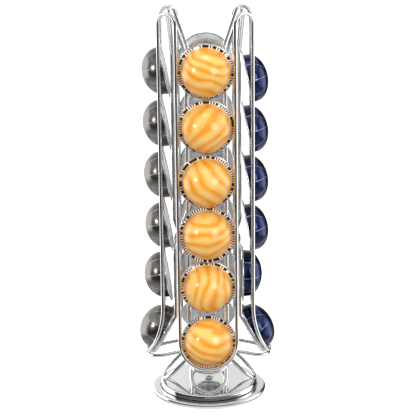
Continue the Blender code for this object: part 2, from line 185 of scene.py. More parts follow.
# Rivet through both, and the pad below them.
RIVET_RADIUS = 0.0028
HOLE_RADIUS = RIVET_RADIUS + SEAT_GAP
RIVET_HEAD_RADIUS = 0.0048
RIVET_HEAD_HEIGHT = 0.0022
RIVET_CLINCH = 0.0009
PAD_RECESS_MARGIN = 0.0016
PAD_GROOVES = 5
PAD_GROOVE = 0.0004

# Half length, half width and half height of each bead of weld metal, and its unevenness.
CROWN_WELD = (0.0030, 0.00225, 0.00225)
PEAK_WELD = (0.0028, 0.0012, 0.0015)
WAIST_WELD = (0.0030, 0.0012, 0.0016)
KNEE_WELD = (0.0026, 0.0010, 0.0014)
ARM_WELD = (0.0036, 0.0013, 0.0013)
FOOT_WELD = (0.0042, 0.0023, 0.0009)
WELD_RIPPLE = 0.05

# Where the arm's and the foot's beads lie off the wire's middle, in wire radii.
ARM_WELD_RISE = 0.5
ARM_WELD_LEAD = 0.6
FOOT_WELD_DROP = 0.9

# Sockets of a Mix node that mixes colours.
MIX_FACTOR, MIX_FIRST, MIX_SECOND, MIX_RESULT = 0, 6, 7, 2

# Chrome and steel: tone, roughness, scale of the smudges and waviness.
CHROMES = {
    "wire_chrome": ((0.80, 0.80, 0.81), 0.04, 60.0, 0.03),
    "plate_chrome": ((0.84, 0.84, 0.83), 0.035, 22.0, 0.12),
    "pan_chrome": ((0.82, 0.82, 0.81), 0.09, 25.0, 0.12),
    "rivet_steel": ((0.66, 0.66, 0.66), 0.16, 200.0, 0.12),
}
SMUDGE_ROUGHENING = 2.2
WAVE_SCALE_SHARE = 0.6
WAVE_HEIGHT = 0.00015

# Satin surfaces: tone, roughness, metallic share, and the grain's scale and depth.
SATINS = {
    "sealed_silver": ((0.80, 0.80, 0.79), 0.45, 0.55, 500.0, 0.0001),
    "race_steel": ((0.55, 0.55, 0.56), 0.32, 1.0, 400.0, 0.0001),
    "ball_steel": ((0.72, 0.72, 0.73), 0.14, 1.0, 300.0, 0.00005),
    "white_nylon": ((0.84, 0.83, 0.79), 0.55, 0.0, 250.0, 0.0001),
    "pad_rubber": ((0.035, 0.035, 0.036), 0.80, 0.0, 900.0, 0.0002),
}
GRAIN_SHADE = 0.82

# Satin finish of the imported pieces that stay, by the start of their names.
INNER_FINISHES = {
    "lower_race": "race_steel",
    "upper_race": "race_steel",
    "bearing_ball": "ball_steel",
    "ball_cage": "white_nylon",
    "pivot_bush": "white_nylon",
}

# Bare foil: tone, roughness and wrinkling. Its streaks are drawn out upright.
PLAIN_FOILS = {
    "lid_foil": ((0.92, 0.92, 0.92), 0.26, 0.06),
    "curl_silver": ((0.83, 0.82, 0.80), 0.22, 0.05),
}
STREAK_SCALE = 260.0
STREAK_SQUEEZE = (1.0, 1.0, 0.14)
STREAK_SHADE = 0.50
PUCKER_SCALE = 75.0
PUCKER_DEPTH = 0.0008

# Marbled orange foil: wavy bands and clouds, moved and turned by the capsule's seed.
MARBLE_SHIFT_X = 0.137
MARBLE_SHIFT_Y = 0.071
MARBLE_TURN = 1.9
BAND_SCALE = 30.0
BAND_SHARE = 0.62
MARBLE_CLOUD_SCALE = 55.0
MARBLE_CLOUD_SHARE = 0.55
MARBLE_TONES = (
    (0.30, (0.88, 0.54, 0.145)), (0.50, (0.84, 0.44, 0.092)), (0.68, (0.85, 0.46, 0.100)),
    (0.76, (0.84, 0.33, 0.023)), (0.90, (0.82, 0.30, 0.013)),
)
MARBLE_RELIEF = 0.0002

# Specks over the marbling, and fine upright pleats round a dome's foot with breaks in them.
SPECK_SCALE = 1500.0
SPECK_SHARE = 0.16
SPECK_TONE = (0.70, 0.26, 0.03)
PLEATS = 72.0
PLEAT_BREAK_SCALE = 900.0
PLEAT_TONE = (0.80, 0.29, 0.03)

# Seamed foil of the other columns' domes: name, tone, tone of its drawn lines, roughness.
SEAMED_FOILS = {
    "right": ("navy_foil", (0.020, 0.032, 0.112), (0.45, 0.48, 0.62), 0.22),
    "back": ("silver_foil", (0.48, 0.47, 0.45), (0.75, 0.74, 0.72), 0.30),
    "left": ("pewter_foil", (0.208, 0.196, 0.185), (0.66, 0.64, 0.60), 0.26),
}
SEAMS = 9.0
SEAM_WANDER = 0.12
SEAM_WANDER_SCALE = 60.0
SEAM_SHARE = 0.75
SEAM_DEPTH = 0.0003
FOIL_CLOUD_SCALE = 90.0
FOIL_CLOUD_SHADE = 0.85
# Share of the tone left in the painted shade at a dome's foot, next to the flange.
FOIL_FOOT_PAINTED_SHADE = 0.45

# Paper and ink of the flanges.
PAPERS = {
    "front": ((0.97, 0.92, 0.89), (0.006, 0.006, 0.006)),
    "right": ((0.10, 0.10, 0.14), (0.01, 0.01, 0.02)),
    "back": ((0.62, 0.61, 0.59), (0.02, 0.02, 0.02)),
    "left": ((0.13, 0.125, 0.12), (0.01, 0.01, 0.01)),
}

# Cells round the flange's ring of ticks, and shares of its width where they begin and end.
TICK_CELLS = 130.0
TICK_OUTER = 0.02
TICK_INNER = 0.97

# Chance that an even cell stays bare, and what an odd one adds to it.
EVEN_BARE = 0.04
ODD_BARE = 0.62

# White table. Camera rays alone see its glow.
FLOOR_SIZE = 40.0
FLOOR_TONE = (0.90, 0.90, 0.90)
FLOOR_GLOW = 0.50

# Strength of the world on matt surfaces.
WORLD_LIGHT = 0.85

# Tone of the studio round the object by share of a turn: 0 is on the camera's side,
# 0.25 on its left, 0.5 behind the object.
STUDIO_PANELS = (
    (0.00, 0.26), (0.020, 0.22), (0.034, 0.004), (0.240, 0.003), (0.254, 2.00), (0.30, 2.60),
    (0.40, 1.40), (0.50, 0.86), (0.535, 0.80), (0.555, 0.02), (0.64, 0.02), (0.665, 1.60),
    (0.70, 2.60), (0.79, 1.70), (0.87, 0.24), (0.95, 0.16), (1.00, 0.26),
)

# Where the camera's side of the studio is dark above eye level.
NEAR_SIDE = ((0.18, 1.0), (0.28, 0.0), (0.72, 0.0), (0.82, 1.0))

# The next four go by half of the height's sine, from straight down to straight up: that
# same dark, where the panels give way to the ends, the ends' tones, and light on matt
# surfaces.
NEAR_HEIGHTS = ((0.50, 0.0), (0.54, 1.0))
STUDIO_HEIGHTS = ((0.29, 1.0), (0.34, 0.0), (0.70, 0.0), (0.76, 1.0))
STUDIO_ENDS = (
    (0.0, 0.62), (0.04, 1.00), (0.16, 1.00), (0.24, 0.50), (0.40, 0.50), (0.50, 0.12),
    (0.75, 0.10), (0.79, 1.15), (0.89, 1.10), (0.94, 0.55), (1.00, 0.70),
)
MATT_HEIGHTS = ((0.25, 0.45), (0.70, 1.0))

# Lamps: degrees round from the camera's side to its right, height, distance from the
# tower's axis, size and watts. They face one point of the axis, and light only pieces
# whose names have one of the starts in LIT_PIECES: the chrome shows the studio alone.
LAMPS = {
    "left_softbox": (-56, 0.75, 1.5, (0.20, 0.24), 9.5),
    "right_softbox": (38, 0.70, 1.5, (0.90, 0.90), 12.0),
    "top_softbox": (10, 2.2, 0.4, (1.2, 1.2), 9.0),
}
LAMP_TARGET = Vector((0, 0, 0.20))
LIT_PIECES = ("floor", "fine_capsule", "fine_foot_pad")


def socket_value(value):
    """Value for a shader socket: a colour gets its alpha, and a number stays as it is."""
    return (*value, 1.0) if hasattr(value, "__len__") else value


def shaded(tone, share):
    """The same colour at a share of its brightness."""
    return tuple(c * share for c in tone)


def add_node(tree, kind, inputs=(), **settings):
    """Shader node with its settings, and inputs given as values or as sockets."""
    item = tree.nodes.new("ShaderNode" + kind)
    for key, value in settings.items():
        setattr(item, key, value)
    for key, value in dict(inputs).items():
        if isinstance(value, bpy.types.NodeSocket):
            tree.links.new(value, item.inputs[key])
        else:
            item.inputs[key].default_value = value
    return item


def math_node(tree, operation, *values):
    return add_node(tree, "Math", enumerate(values), operation=operation).outputs[0]


def product(tree, first, second):
    return math_node(tree, "MULTIPLY", first, second)


def ramp(tree, factor, stops, interpolation="LINEAR"):
    """Color ramp through (place, grey or colour) stops."""
    item = add_node(tree, "ValToRGB", {"Fac": factor})
    band = item.color_ramp
    band.interpolation = interpolation
    while len(band.elements) < len(stops):
        band.elements.new(1.0)
    for element, (place, tone) in zip(band.elements, stops):
        element.position = place
        element.color = (*tone, 1.0) if hasattr(tone, "__len__") else (tone, tone, tone, 1.0)
    return item.outputs["Color"]


def mix_color(tree, factor, first, second):
    """Mix of two colours. They and the factor are given as values or as sockets."""
    item = add_node(tree, "Mix", data_type="RGBA")
    for number, value in ((MIX_FACTOR, factor), (MIX_FIRST, first), (MIX_SECOND, second)):
        if isinstance(value, bpy.types.NodeSocket):
            tree.links.new(value, item.inputs[number])
        else:
            item.inputs[number].default_value = socket_value(value)
    return item.outputs[MIX_RESULT]


def new_material(name, **values):
    """Material with its Principled shader's own values set."""
    item = bpy.data.materials.new(name)
    item.use_nodes = True
    tree = item.node_tree
    shader = tree.nodes["Principled BSDF"]
    for key, value in values.items():
        socket = shader.inputs[key.replace("_", " ").title().replace("Ior", "IOR")]
        socket.default_value = socket_value(value)
    return item, tree, shader


def object_place(tree):
    return add_node(tree, "TexCoord").outputs["Object"]


def turned_shares(tree):
    """Share of a turn round a turned piece, and share of the way along its own zone."""
    uv = add_node(tree, "SeparateXYZ", {"Vector": add_node(tree, "TexCoord").outputs["UV"]})
    return uv.outputs[0], uv.outputs[1]


def noise(tree, place, scale, detail=2.0):
    return add_node(tree, "TexNoise", {"Vector": place, "Scale": scale, "Detail": detail}).outputs[0]


def place_noise(tree, scale, detail=2.0):
    return noise(tree, object_place(tree), scale, detail)


def bump(tree, shader, height, strength, distance):
    item = add_node(tree, "Bump", {"Height": height, "Strength": strength, "Distance": distance})
    tree.links.new(item.outputs[0], shader.inputs["Normal"])


def chrome(name):
    """Polished metal with faint smudges and the waviness of drawn or pressed steel."""
    tone, rough, smudge_scale, waviness = CHROMES[name]
    item, tree, shader = new_material(name, base_color=tone, metallic=1.0)
    smudge = place_noise(tree, smudge_scale, 4.0)
    spread = ramp(tree, smudge, ((0.35, rough), (0.75, rough * SMUDGE_ROUGHENING)))
    tree.links.new(spread, shader.inputs["Roughness"])
    bump(tree, shader, place_noise(tree, smudge_scale * WAVE_SCALE_SHARE), waviness, WAVE_HEIGHT)
    return item


def satin(name):
    """Plain moulded, rubber, foil or ground-steel surface with a fine grain."""
    tone, rough, metallic, grain_scale, grain_depth = SATINS[name]
    item, tree, shader = new_material(name, metallic=metallic)
    grain = place_noise(tree, grain_scale, 3.0)
    color = ramp(tree, grain, ((0.3, shaded(tone, GRAIN_SHADE)), (0.7, tone)))
    tree.links.new(color, shader.inputs["Base Color"])
    tree.links.new(ramp(tree, grain, ((0.2, rough * 0.85), (0.8, rough))), shader.inputs["Roughness"])
    bump(tree, shader, grain, 0.4, grain_depth)
    return item


def marbled_foil(name, seed):
    """Orange lacquered foil with soft marbling, turned differently on each capsule."""
    item, tree, shader = new_material(
        name, metallic=0.0, roughness=0.26, specular_ior_level=0.42, coat_weight=0.35,
        coat_roughness=0.06,
    )
    place = add_node(tree, "Mapping", {
        "Vector": object_place(tree),
        "Location": (seed * MARBLE_SHIFT_X, seed * MARBLE_SHIFT_Y, 0),
        "Rotation": (-pi / 2, 0, seed * MARBLE_TURN),
    }).outputs[0]
    bands = add_node(tree, "TexWave", {
        "Vector": place, "Scale": BAND_SCALE, "Distortion": 8.0, "Detail": 1.0,
        "Detail Scale": 0.8,
    }, bands_direction="X", wave_profile="SIN").outputs["Fac"]
    cloud = noise(tree, place, MARBLE_CLOUD_SCALE, 3.0)
    tone = math_node(
        tree, "ADD", product(tree, bands, BAND_SHARE), product(tree, cloud, MARBLE_CLOUD_SHARE),
    )
    color = ramp(tree, tone, MARBLE_TONES)
    speck = ramp(tree, noise(tree, place, SPECK_SCALE, 1.0), ((0.58, 0.0), (0.70, 1.0)))
    color = mix_color(tree, product(tree, speck, SPECK_SHARE), color, SPECK_TONE)
    around, along = turned_shares(tree)
    phase = math_node(tree, "FRACT", product(tree, around, PLEATS))
    pleat = ramp(tree, phase, ((0.30, 0.0), (0.50, 1.0), (0.70, 0.0)))
    foot = ramp(tree, along, ((0.12, 0.55), (0.45, 0.0)))
    broken = ramp(tree, place_noise(tree, PLEAT_BREAK_SCALE, 1.0), ((0.40, 0.15), (0.60, 1.0)))
    mask = product(tree, product(tree, pleat, foot), broken)
    color = mix_color(tree, mask, color, PLEAT_TONE)
    tree.links.new(color, shader.inputs["Base Color"])
    relief = math_node(tree, "ADD", cloud, product(tree, mask, -0.5))
    bump(tree, shader, relief, 0.12, MARBLE_RELIEF)
    return item


def seamed_foil(name, tone, light, rough):
    """Metallic foil with painted shade near the flange, which stands for the dark flange and rails the
    foil reflects there, and fine drawn lines up to the dome's top.
    """
    item, tree, shader = new_material(name, metallic=0.92, coat_weight=0.15, coat_roughness=0.10)
    around, along = turned_shares(tree)
    wander = product(tree, place_noise(tree, SEAM_WANDER_SCALE), SEAM_WANDER)
    phase = math_node(tree, "FRACT", math_node(tree, "ADD", product(tree, around, SEAMS), wander))
    near = math_node(tree, "ABSOLUTE", math_node(tree, "SUBTRACT", phase, 0.5))
    line = ramp(tree, near, ((0.010, 1.0), (0.024, 0.0)))
    fade = ramp(tree, along, ((0.50, 1.0), (0.86, 0.0)))
    mask = product(tree, line, fade)
    cloud = place_noise(tree, FOIL_CLOUD_SCALE, 3.0)
    base = ramp(tree, cloud, ((0.3, shaded(tone, FOIL_CLOUD_SHADE)), (0.7, tone)))
    # Painted shade: the tone darkens from part way up the dome down to the flange, standing for the
    # dark flange and rails that the foil reflects there.
    climb = ramp(tree, along, ((0.10, 0.0), (0.45, 1.0)))
    base = mix_color(tree, climb, shaded(tone, FOIL_FOOT_PAINTED_SHADE), base)
    color = mix_color(tree, product(tree, mask, SEAM_SHARE), base, light)
    tree.links.new(color, shader.inputs["Base Color"])
    spread = ramp(tree, cloud, ((0.2, rough * 0.8), (0.8, rough * 1.2)))
    tree.links.new(spread, shader.inputs["Roughness"])
    bump(tree, shader, math_node(tree, "SUBTRACT", 1.0, mask), 0.5, SEAM_DEPTH)
    return item


def tick_flange(name, paper, ink, seed):
    """Flange with a ring of uneven ticks: nearly all even cells are inked, and some odd ones."""
    item, tree, shader = new_material(name, metallic=0.0, roughness=0.38)
    around, along = turned_shares(tree)
    cell = math_node(tree, "FLOOR", product(tree, around, TICK_CELLS))
    place = add_node(tree, "CombineXYZ", {0: cell, 1: float(seed), 2: 0.5}).outputs[0]
    chance = add_node(tree, "TexWhiteNoise", {"Vector": place}, noise_dimensions="3D").outputs["Value"]
    odd = math_node(tree, "MODULO", cell, 2.0)
    bare = math_node(tree, "ADD", product(tree, odd, ODD_BARE), EVEN_BARE)
    ticks = math_node(tree, "GREATER_THAN", chance, bare)
    inside = ramp(tree, along, ((0.0, 0.0), (TICK_OUTER, 1.0), (TICK_INNER, 0.0)), "CONSTANT")
    color = mix_color(tree, product(tree, ticks, inside), paper, ink)
    tree.links.new(color, shader.inputs["Base Color"])
    bump(tree, shader, place_noise(tree, 300.0), 0.15, 0.0001)
    return item


def plain_foil(name):
    """Bare foil, drawn in upright streaks and slightly puckered, as on a lid."""
    tone, rough, wrinkle = PLAIN_FOILS[name]
    item, tree, shader = new_material(name, metallic=0.95)
    squeeze = {"Vector": object_place(tree), "Scale": STREAK_SQUEEZE}
    drawn = add_node(tree, "Mapping", squeeze).outputs[0]
    streak = noise(tree, drawn, STREAK_SCALE, 3.0)
    pucker = place_noise(tree, PUCKER_SCALE, 1.0)
    color = ramp(tree, streak, ((0.34, shaded(tone, STREAK_SHADE)), (0.56, tone)))
    tree.links.new(color, shader.inputs["Base Color"])
    spread = ramp(tree, pucker, ((0.2, rough * 0.8), (0.8, rough * 1.25)))
    tree.links.new(spread, shader.inputs["Roughness"])
    bump(tree, shader, pucker, wrinkle, PUCKER_DEPTH)
    return item


def new_object(name, mesh, materials):
    item = bpy.data.objects.new(name, mesh)
    bpy.context.scene.collection.objects.link(item)
    for material in materials:
        mesh.materials.append(material)
    return item


def arc_points(center, radius, start, end, steps):
    """Points on an arc in the (radius, height) plane, both ends included."""
    return [
        (
            center[0] + radius * cos(start + (end - start) * k / steps),
            center[1] + radius * sin(start + (end - start) * k / steps),
        )
        for k in range(steps + 1)
    ]


def turned(name, outline, zones, sides, materials):
    """Solid of revolution about Z from an outline of (radius, height) points.

    zones holds the material of each stretch between two points. An outline that
    starts and ends on the axis is open. Any other is a ring and has one stretch
    more, back to its first point. UV's first value is the share of a turn and its
    second the share of the stretch's own zone, from its first point to its last.
    """
    count = len(outline)
    mesh = bpy.data.meshes.new(name)
    shape = bmesh.new()
    layer = shape.loops.layers.uv.new("turned")
    rings = []
    for r, z in outline:
        if r == 0:
            rings.append([shape.verts.new((0, 0, z))] * sides)
        else:
            rings.append([
                shape.verts.new((r * cos(2 * pi * k / sides), r * sin(2 * pi * k / sides), z))
                for k in range(sides)
            ])
    spans = {}
    for i, zone in enumerate(zones):
        start, end = outline[i], outline[(i + 1) % count]
        reached = spans.setdefault(zone, [0.0])
        reached.append(reached[-1] + sqrt((end[0] - start[0]) ** 2 + (end[1] - start[1]) ** 2))
    seen = dict.fromkeys(zones, 0)
    for i, zone in enumerate(zones):
        total = spans[zone][-1]
        low = spans[zone][seen[zone]] / total
        high = spans[zone][seen[zone] + 1] / total
        seen[zone] += 1
        first, second = rings[i], rings[(i + 1) % count]
        for k in range(sides):
            n = (k + 1) % sides
            corners = []
            for vert, u, v in (
                (first[k], k, low), (first[n], k + 1, low),
                (second[n], k + 1, high), (second[k], k, high),
            ):
                if all(vert is not other[0] for other in corners):
                    corners.append((vert, u, v))
            face = shape.faces.new([vert for vert, u, v in corners])
            face.material_index = zone
            face.smooth = True
            for loop, (vert, u, v) in zip(face.loops, corners):
                loop[layer].uv = (u / sides, v)
    bmesh.ops.recalc_face_normals(shape, faces=shape.faces)
    shape.to_mesh(mesh)
    shape.free()
    mesh.set_sharp_from_angle(angle=SHARP_ANGLE)
    return new_object(name, mesh, materials)


def capsule_frame(node):
    """Frame of a packed capsule's rim, Z along its dome and X level, and its dome's height.

    The dome's axis is the one whose spread of points differs most from the other two.
    """
    points = {tuple(round(c, 6) for c in v.co) for v in frame["nodes"][node].data.vertices}
    cloud = np.array(sorted(points))
    mean = cloud.mean(axis=0)
    values, axes = np.linalg.eigh(np.cov((cloud - mean).T))
    unlike = [
        abs(values[k] - values[(k + 1) % 3]) + abs(values[k] - values[(k + 2) % 3])
        for k in range(3)
    ]
    axis = Vector(axes[:, int(np.argmax(unlike))])
    if axis.x * mean[0] + axis.y * mean[1] < 0:
        axis.negate()
    along = (cloud - mean) @ np.array(axis)
    across = np.linalg.norm(cloud - mean - np.outer(along, np.array(axis)), axis=1)
    back = along[across > across.max() - SEAT_GAP].mean()
    center = Vector(mean) + axis * (back + RIM_THICKNESS / 2)
    height = along.max() - back - RIM_THICKNESS / 2
    level = Vector((0, 0, 1)).cross(axis).normalized()
    upward = axis.cross(level)
    pose = Matrix((level, upward, axis)).transposed().to_4x4()
    pose.translation = center
    return pose, height


def capsule_outline(height):
    """Fine profile from the lid's middle to the dome's top, with each stretch's zone."""
    back = -RIM_THICKNESS / 2
    points = [(0, back + LID_RECESS)]
    zones = []

    def stretch(more, zone):
        points.extend(more)
        zones.extend([zone] * len(more))

    stretch([(RIM_RADIUS * across, back + LID_RECESS * deep) for across, deep in LID_RINGS], LID)
    stretch([(LID_SEAL_INNER - LID_SEAL_DEPTH * 4, back + LID_RECESS)], LID)
    stretch([
        (LID_SEAL_INNER, back + LID_RECESS - LID_SEAL_DEPTH),
        (RIM_RADIUS - CURL_RADIUS * 2.4, back + LID_RECESS - LID_SEAL_DEPTH),
    ], SEAL)
    curl = (RIM_RADIUS - CURL_RADIUS, 0)
    stretch(arc_points(curl, CURL_RADIUS, radians(-120), radians(140), CURL_STEPS), CURL)
    stretch([(RIM_RADIUS - CURL_RADIUS * 2.2, FLANGE_TOP), (FLANGE_FOOT, FLANGE_TOP)], FLANGE)
    fillet = (CUP_RADIUS + CUP_FILLET, FLANGE_TOP + CUP_FILLET)
    stretch(arc_points(fillet, CUP_FILLET, radians(-90), radians(-180), FILLET_STEPS), DOME)
    shoulder = CUP_RADIUS - CUP_SKIRT_TAPER
    rise = height - CUP_SKIRT
    for k in range(DOME_STEPS):
        turn = pi / 2 * k / DOME_STEPS
        stretch([(shoulder * cos(turn), CUP_SKIRT + rise * sin(turn))], DOME)
    stretch([(0, height)], DOME)
    return points, zones


def capsules():
    """A finely turned capsule in place of each packed one."""
    lid, curl, seal = plain_foil("lid_foil"), plain_foil("curl_silver"), satin("sealed_silver")
    domes = {column: seamed_foil(*foil) for column, foil in SEAMED_FOILS.items()}
    for index, column in enumerate(COLUMNS):
        paper, ink = PAPERS[column]
        for order in range(1, CAPSULES_PER_COLUMN + 1):
            label = column + "_" + str(order)
            node = "capsule_" + label
            seed = index * CAPSULES_PER_COLUMN + order
            pose, height = capsule_frame(node)
            points, zones = capsule_outline(height)
            dome = domes.get(column) or marbled_foil("orange_foil_" + str(order), seed)
            flange = tick_flange("flange_" + label, paper, ink, seed)
            finishes = [dome, flange, curl, lid, seal]
            piece = turned("fine_" + node, points, zones, CAPSULE_SIDES, finishes)
            upright = Matrix.Translation(pose.translation) @ Matrix.Rotation(index * pi / 2, 4, "Z")
            piece.data.transform(upright.inverted() @ pose)
            piece.matrix_world = upright
            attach(piece, "top_capsule_" + column if order == 1 else "carousel")
            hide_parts(node)


def filleted(corners, radii):
    """Polyline through the corners with each inner corner rounded to an arc.

    An arc takes up to half of each leg, or most of one whose far end is sharp.
    """
    path = []
    for k, corner in enumerate(corners):
        if radii[k] == 0:
            path.append(corner.copy())
            continue
        before = corners[k - 1] - corner
        after = corners[k + 1] - corner
        turn = pi - before.angle(after)
        reach = radii[k] * tan(turn / 2)
        for leg, beyond in ((before, radii[k - 1]), (after, radii[k + 1])):
            reach = min(reach, leg.length / 2 if beyond else leg.length * END_LEG_SHARE)
        radius = reach / tan(turn / 2)
        entry = corner + before.normalized() * reach
        leave = corner + after.normalized() * reach
        middle = (before.normalized() + after.normalized()).normalized()
        center = corner + middle * (radius / cos(turn / 2))
        steps = max(1, round(turn / BEND_STEP))
        for s in range(steps + 1):
            share = s / steps
            a = sin((1 - share) * turn) / sin(turn)
            b = sin(share * turn) / sin(turn)
            point = center + (entry - center) * a + (leave - center) * b
            if not path or (point - path[-1]).length > SEAT_GAP / 2:
                path.append(point)
    return path


def half_turn(near, far, steps):
    """Semicircle from near[0] to near[1], bulging towards far."""
    middle = (near[0] + near[1]) / 2
    side = near[0] - middle
    reach = (far - middle).normalized() * side.length
    return [
        middle + side * cos(pi * k / steps) + reach * sin(pi * k / steps)
        for k in range(steps + 1)
    ]


def mirrored(points):
    """The same half path on the column's other side, run backwards."""
    return [Vector((-p.x, p.y, p.z)) for p in reversed(points)]


def column_frame(index):
    """Frame of one column, with its origin on the plate's top."""
    return Matrix.Translation((0, 0, PLATE_TOP)) @ Matrix.Rotation(index * pi / 2, 4, "Z")


def low_frame():
    """Centre, outward axis and downward direction of the lowest capsule's rim."""
    center = Vector((0, -LOW_CAPSULE_RADIUS, LOW_CAPSULE_HEIGHT))
    outward = Vector((0, -cos(LOW_CAPSULE_TILT), sin(LOW_CAPSULE_TILT)))
    down = Vector((0, -sin(LOW_CAPSULE_TILT), -cos(LOW_CAPSULE_TILT)))
    return center, outward, down


def flare(half_width, radius, offset, tip_rise, rounding):
    """Bend and half loop of a rail pair round the lowest capsule's rim.

    The rails turn from upright into the plane of the loop along an arc, which may
    run on into the loop.
    """
    center, outward, down = low_frame()
    tip = center + outward * offset + down * (RIM_RADIUS - tip_rise)
    arc_start = (tip.y + radius) / down.y - rounding * tan(LOW_CAPSULE_TILT / 2)
    arc_end = arc_start + rounding * LOW_CAPSULE_TILT

    def on_rails(across, climb):
        """Point across the pair, at a climb from the tip along its bent plane."""
        lean = LOW_CAPSULE_TILT - max(0, climb - arc_start) / rounding
        place = tip - down * min(climb, arc_start)
        place.y += rounding * (cos(lean) - cos(LOW_CAPSULE_TILT))
        place.z += rounding * (sin(LOW_CAPSULE_TILT) - sin(lean))
        place.x = across
        return place

    arc_low = max(arc_start, half_width)
    climbs = [arc_end + (arc_low - arc_end) * k / FLARE_STEPS for k in range(FLARE_STEPS + 1)]
    bend = [on_rails(-half_width, c) for c in climbs if c > half_width + MERGE_DISTANCE]
    turns = [pi * k / LOOP_STEPS for k in range(LOOP_STEPS + 1)]
    loop = [on_rails(-half_width * cos(a), half_width * (1 - sin(a))) for a in turns]
    return bend, loop


def crown_apex():
    """Middle of the wire where two neighbouring crowns meet end to end."""
    peak = -(OUTER_HALF_WIDTH + OUTER_RADIUS) / 2
    return Vector((peak, peak, CROWN_HEIGHT))


def outer_path():
    """From the crown's top over one corner, round the column, to the next."""
    bend, loop = flare(
        OUTER_HALF_WIDTH, OUTER_RADIUS, CRADLE_OFFSET, OUTER_TIP_RISE, OUTER_FLARE_ROUNDING,
    )
    shoulder = Vector((-OUTER_HALF_WIDTH, -OUTER_RADIUS, CROWN_HEIGHT))
    half = filleted([crown_apex(), shoulder, bend[0]], [0, CROWN_ROUNDING, 0]) + bend[1:]
    return half + loop + mirrored(half)


def peak_place():
    """Plan coordinate of the inner wire's peak, which touches the crown."""
    across = sqrt(WIRE_PITCH ** 2 - PEAK_DROP ** 2)
    return crown_apex().x + across * DIAGONAL_SHARE


def inner_path():
    """From one corner's peak down behind the lids, round, and up again."""
    bend, loop = flare(
        INNER_HALF_WIDTH, INNER_RADIUS, -CRADLE_OFFSET, INNER_TIP_RISE, INNER_FLARE_ROUNDING,
    )
    top = CROWN_HEIGHT - PEAK_DROP
    place = peak_place()
    lead = PEAK_LEAD * DIAGONAL_SHARE
    peak = Vector((place, place, top))
    knee = Vector((place + lead, place - lead, top))
    spread = Vector((-INNER_HALF_WIDTH, -INNER_RADIUS, CROWN_HEIGHT - INNER_SPREAD_DROP))
    beside = WIRE_PITCH / 2 * DIAGONAL_SHARE
    waist = Vector((-WAIST_RADIUS + beside, -WAIST_RADIUS - beside, WAIST_HEIGHT))
    above = spread.copy()
    above.z = WAIST_HEIGHT + WAIST_REACH
    below = spread.copy()
    below.z = WAIST_HEIGHT - WAIST_REACH
    half = filleted(
        [peak, knee, spread, above, waist, below, bend[0]],
        [
            0, PEAK_ROUNDING, INNER_SPREAD_ROUNDING, WAIST_END_ROUNDING,
            WAIST_ROUNDING, WAIST_END_ROUNDING, 0,
        ],
    ) + bend[1:]
    return half + loop + mirrored(half)


def loop_seat():
    """Lowest capsule's rim edge, where the loop's arm passes under the outer rails."""
    center, _, down = low_frame()
    below = sqrt(WIRE_PITCH ** 2 - CRADLE_OFFSET ** 2) - OUTER_TIP_RISE
    return center + down * (RIM_RADIUS + below)


def loop_foot():
    return Vector((0, -FOOT_RADIUS, SEAT_GAP + WIRE_RADIUS))


def loop_path():
    """Closed loop: under the lowest rim, in to the tower's middle, to a foot."""
    inner = LOOP_HALF_WIDTH + WIRE_PITCH * DIAGONAL_SHARE
    bend = Vector((-LOOP_HALF_WIDTH, -inner, LOOP_BEND_HEIGHT))
    dropped = Vector((-LOOP_HALF_WIDTH, -inner, LOOP_BEND_HEIGHT - LOOP_BEND_DROP))

    def round_end(start, end):
        run = Vector((0, end.y - start.y, end.z - start.z))
        run = run.normalized() * (run.length - LOOP_HALF_WIDTH)
        near = Vector((start.x, start.y + run.y, start.z + run.z))
        other = Vector((-near.x, near.y, near.z))
        return half_turn((near, other), end, LOOP_STEPS)

    arm = round_end(bend, loop_seat())
    leg = round_end(dropped, loop_foot())
    corner = filleted(
        [leg[0], dropped, bend, arm[0]], [0, LOOP_ROUNDING, LOOP_ROUNDING, 0],
    )
    return corner + arm[1:-1] + mirrored(corner) + list(reversed(leg))[1:-1]


def wire(name, path, index, material, cyclic):
    """Round wire along a path given in the front column's frame."""
    curve = bpy.data.curves.new(name, "CURVE")
    curve.dimensions = "3D"
    curve.bevel_depth = WIRE_RADIUS
    curve.bevel_resolution = WIRE_ROUNDNESS
    curve.use_fill_caps = not cyclic
    spline = curve.splines.new("POLY")
    spline.points.add(len(path) - 1)
    for point, place in zip(spline.points, path):
        point.co = (*place, 1.0)
    spline.use_cyclic_u = cyclic
    item = bpy.data.objects.new(name, curve)
    item.matrix_world = column_frame(index)
    bpy.context.scene.collection.objects.link(item)
    curve.materials.append(material)
    return item


def tower_wires(material):
    for index, column in enumerate(COLUMNS):
        for kind, path, cyclic in (
            ("outer_wire_", outer_path(), False),
            ("inner_wire_", inner_path(), False),
            ("foot_loop_", loop_path(), True),
        ):
            node = kind + column
            piece = wire("fine_" + node, path, index, material, cyclic)
            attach(piece, "carousel")
            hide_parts(node)


def weld_bead(shape, center, along, across, size):
    """Small run of weld metal in the crevice between two touching wires.

    size is its half length along the wires, half width across and half height.
    """
    up = along.cross(across).normalized()
    rings = []
    for i in range(1, WELD_RINGS):
        lean = pi * i / WELD_RINGS
        ring = []
        for k in range(WELD_STEPS):
            turn = 2 * pi * k / WELD_STEPS
            ripple = 1 + WELD_RIPPLE * sin(3 * turn + 2 * lean)
            ring.append(shape.verts.new(
                center - along * cos(lean) * size[0]
                + (across * cos(turn) * size[1] + up * sin(turn) * size[2]) * sin(lean) * ripple
            ))
        rings.append(ring)
    ends = [shape.verts.new(center - along * size[0]), shape.verts.new(center + along * size[0])]
    for k in range(WELD_STEPS):
        n = (k + 1) % WELD_STEPS
        shape.faces.new((ends[0], rings[0][n], rings[0][k]))
        shape.faces.new((ends[1], rings[-1][k], rings[-1][n]))
        for low, high in zip(rings, rings[1:]):
            shape.faces.new((low[k], low[n], high[n], high[k]))


